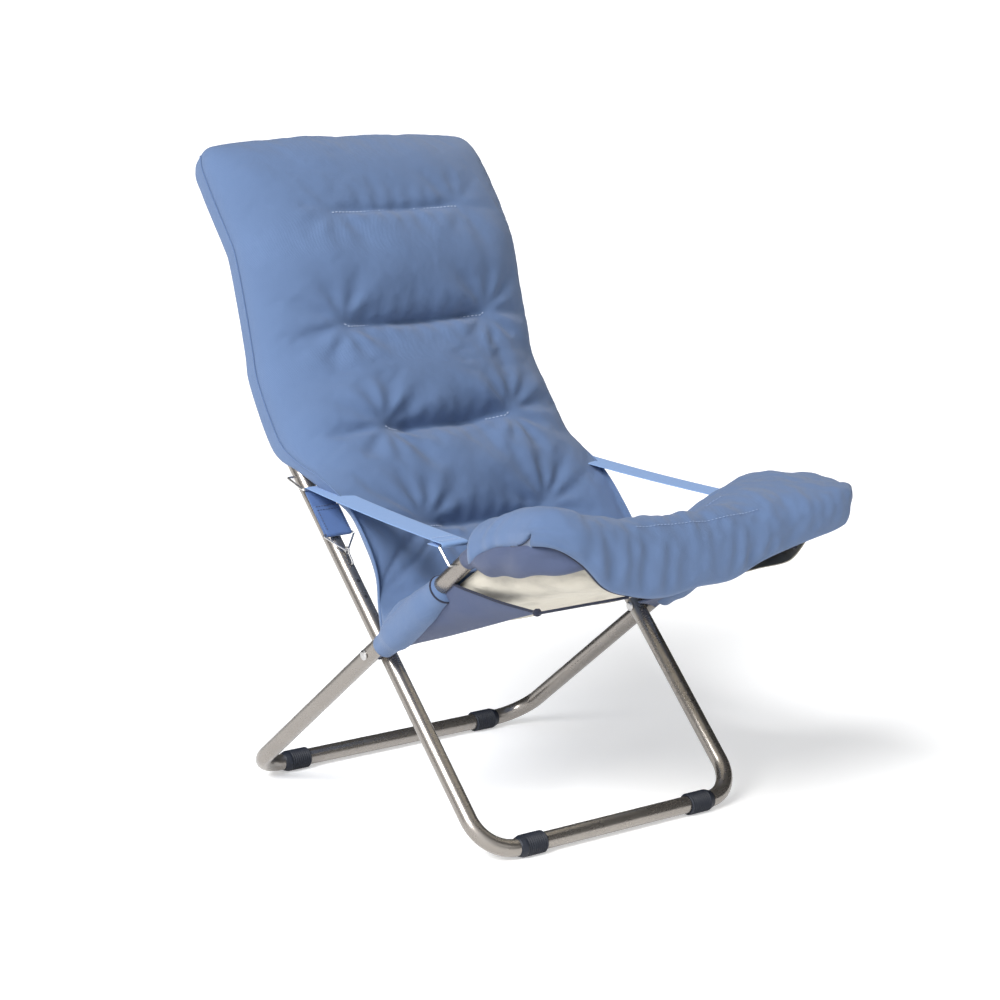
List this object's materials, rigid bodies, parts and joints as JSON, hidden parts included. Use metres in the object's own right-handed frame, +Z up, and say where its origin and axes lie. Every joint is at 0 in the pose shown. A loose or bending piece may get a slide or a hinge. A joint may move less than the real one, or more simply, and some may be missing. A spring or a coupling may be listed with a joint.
{
  "type": "folding beach armchair",
  "caption": "Low folding armchair: two crossed steel tube frames, a quilted one-piece cushion, canvas sling and webbing arm straps.",
  "frame": {"origin": "on the floor under the middle of the chair's bounding box", "axes": "+Z up, the sitter faces -Y, +X to the sitter's left"},
  "size_m": [0.578, 0.9133, 0.9466],
  "materials": {
    "satin_steel": "satin bronze-grey metallic coating on steel tube",
    "wire_steel": "bright zinc-plated wire and rivets",
    "nylon": "dark nylon",
    "foot_rubber": "ribbed dark navy rubber",
    "blue_webbing": "woven webbing with a fine rib",
    "blue_cloth": "padded twill cloth with a light sheen",
    "cream_canvas": "plain cream canvas",
    "black_elastic": "braided elastic cord",
    "pink_tab": "small folded woven tab, plain"
  },
  "bodies": {
    "back_frame": {"front_leg_tube": "satin_steel", "back_hoop": "satin_steel", "head_chamber": "blue_cloth", "upper_back_chamber": "blue_cloth", "middle_back_chamber": "blue_cloth", "lower_back_chamber": "blue_cloth", "crease_chamber": "blue_cloth", "seam_tab": "pink_tab", "front_foot_right": "foot_rubber", "post_strap_ring_right": "wire_steel", "arm_strap_right": "blue_webbing", "strap_triangle_right": "wire_steel", "pivot_washer_right": "nylon", "pivot_rivet_right": "wire_steel", "front_foot_left": "foot_rubber", "post_strap_ring_left": "wire_steel", "arm_strap_left": "blue_webbing", "strap_triangle_left": "wire_steel", "pivot_washer_left": "nylon", "pivot_rivet_left": "wire_steel"},
    "seat_frame": {"rear_leg_tube": "satin_steel", "seat_hoop": "satin_steel", "seat_chamber": "blue_cloth", "front_flounce": "blue_cloth", "base_sling": "cream_canvas", "hem_elastic": "black_elastic", "rear_foot_right": "foot_rubber", "arm_strap_ring_right": "wire_steel", "arm_sleeve_right": "blue_cloth", "rear_foot_left": "foot_rubber", "arm_strap_ring_left": "wire_steel", "arm_sleeve_left": "blue_cloth"},
    "hook_right": {"strap_hook_right": "wire_steel"},
    "hook_left": {"strap_hook_left": "wire_steel"}
  },
  "joints": [
    {"name": "fold", "type": "hinge", "parent": "back_frame", "child": "seat_frame", "pos_m": [0, -0.0205, 0.2585], "axis": [-1, 0, 0], "range_deg": [0, 75], "deforming": ["crease_chamber", "arm_strap_right", "arm_strap_left"]},
    {"name": "hook_swing_right", "type": "hinge", "parent": "back_frame", "child": "hook_right", "pos_m": [-0.235, 0.07527, 0.38855], "axis": [-1, 0, 0], "range_deg": [0, 75]},
    {"name": "hook_swing_left", "type": "hinge", "parent": "back_frame", "child": "hook_left", "pos_m": [0.235, 0.07527, 0.38855], "axis": [-1, 0, 0], "range_deg": [0, 75]}
  ]
}
